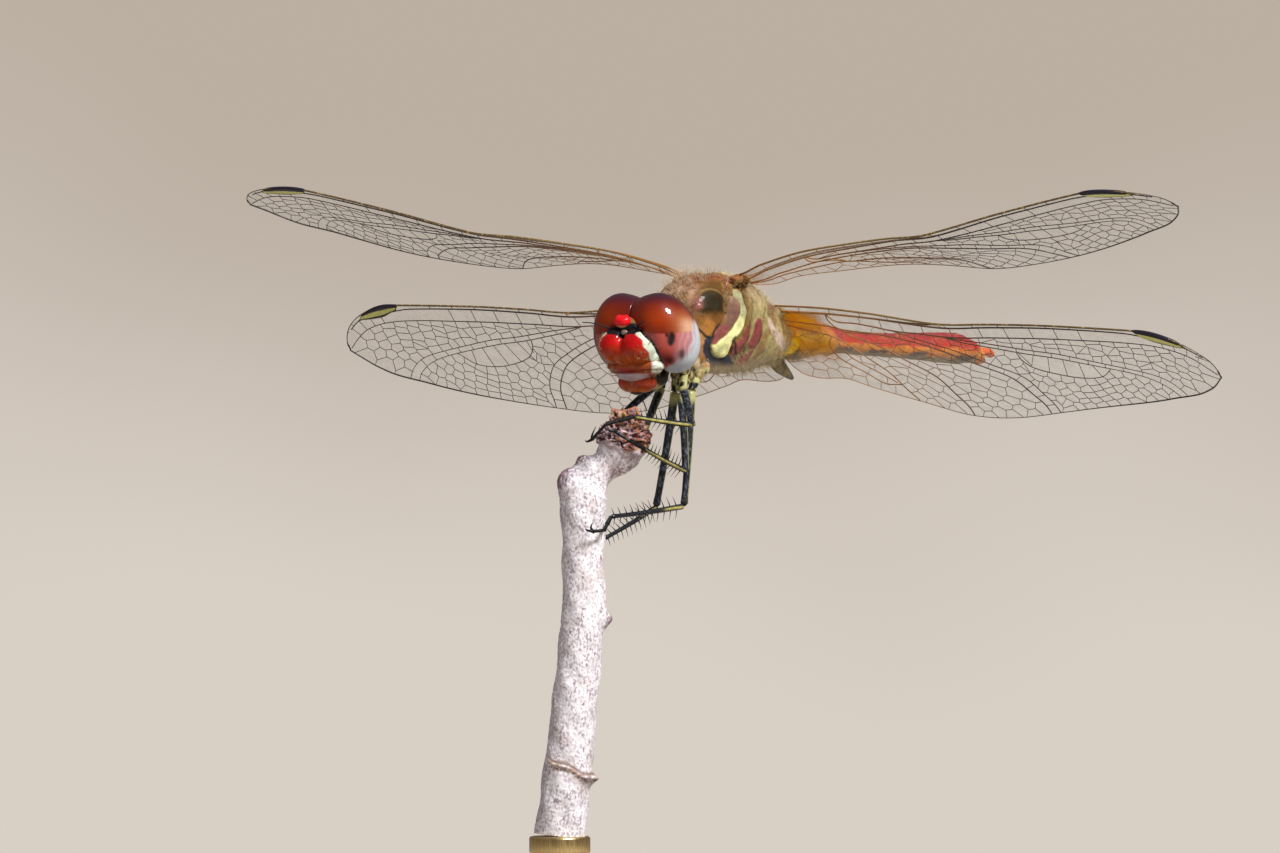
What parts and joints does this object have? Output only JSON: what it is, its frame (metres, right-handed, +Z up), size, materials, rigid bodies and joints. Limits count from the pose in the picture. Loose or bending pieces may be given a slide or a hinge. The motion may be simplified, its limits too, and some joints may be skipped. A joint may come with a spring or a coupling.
{
  "type": "dragonfly",
  "caption": "Male red darter dragonfly with its wings spread, gripping the broken end of a twig that stands on a round display base.",
  "frame": {"origin": "centre of the stand base's underside, on the surface it stands on, under the twig's sawn end", "axes": "+Z up, -Y the way the animal faces, +X the animal's left"},
  "size_m": [0.0643, 0.0698, 0.0518],
  "materials": {
    "eye": "gloss",
    "head_shell": "satin",
    "face_shell": "gloss",
    "mouthparts": "gloss",
    "antenna": "satin",
    "thorax_shell": "satin",
    "abdomen_shell": "satin",
    "wing_membrane": "gloss",
    "leg_shell": "satin",
    "bark": "matte",
    "stand_wood": "satin",
    "stand_metal": "satin"
  },
  "bodies": {
    "root": {"eye_left": "eye", "eye_right": "eye", "head": "head_shell", "frons": "face_shell", "clypeus": "mouthparts", "labrum": "mouthparts", "labium": "mouthparts", "antenna_left": "antenna", "antenna_right": "antenna", "neck": "thorax_shell", "prothorax": "thorax_shell", "thorax": "thorax_shell", "abdomen_1": "abdomen_shell", "abdomen_2": "abdomen_shell", "abdomen_3": "abdomen_shell", "abdomen_4": "abdomen_shell", "abdomen_5": "abdomen_shell", "abdomen_6": "abdomen_shell", "abdomen_7": "abdomen_shell", "abdomen_8": "abdomen_shell", "abdomen_9": "abdomen_shell", "abdomen_10": "abdomen_shell", "cercus_left": "abdomen_shell", "cercus_right": "abdomen_shell", "epiproct": "abdomen_shell", "genital_lobe": "abdomen_shell", "wing_fore_left": "wing_membrane", "wing_fore_right": "wing_membrane", "wing_hind_left": "wing_membrane", "wing_hind_right": "wing_membrane", "twig": "bark", "leg_front_left_femur": "leg_shell", "leg_front_left_tibia": "leg_shell", "leg_front_left_tarsus": "leg_shell", "leg_front_right_femur": "leg_shell", "leg_front_right_tibia": "leg_shell", "leg_front_right_tarsus": "leg_shell", "leg_middle_left_femur": "leg_shell", "leg_middle_left_tibia": "leg_shell", "leg_middle_left_tarsus": "leg_shell", "leg_middle_right_femur": "leg_shell", "leg_middle_right_tibia": "leg_shell", "leg_middle_right_tarsus": "leg_shell", "leg_hind_left_femur": "leg_shell", "leg_hind_left_tibia": "leg_shell", "leg_hind_left_tarsus": "leg_shell", "leg_hind_right_femur": "leg_shell", "leg_hind_right_tibia": "leg_shell", "leg_hind_right_tarsus": "leg_shell", "stand_base": "stand_wood", "stand_rod": "stand_metal"}
  },
  "joints": []
}
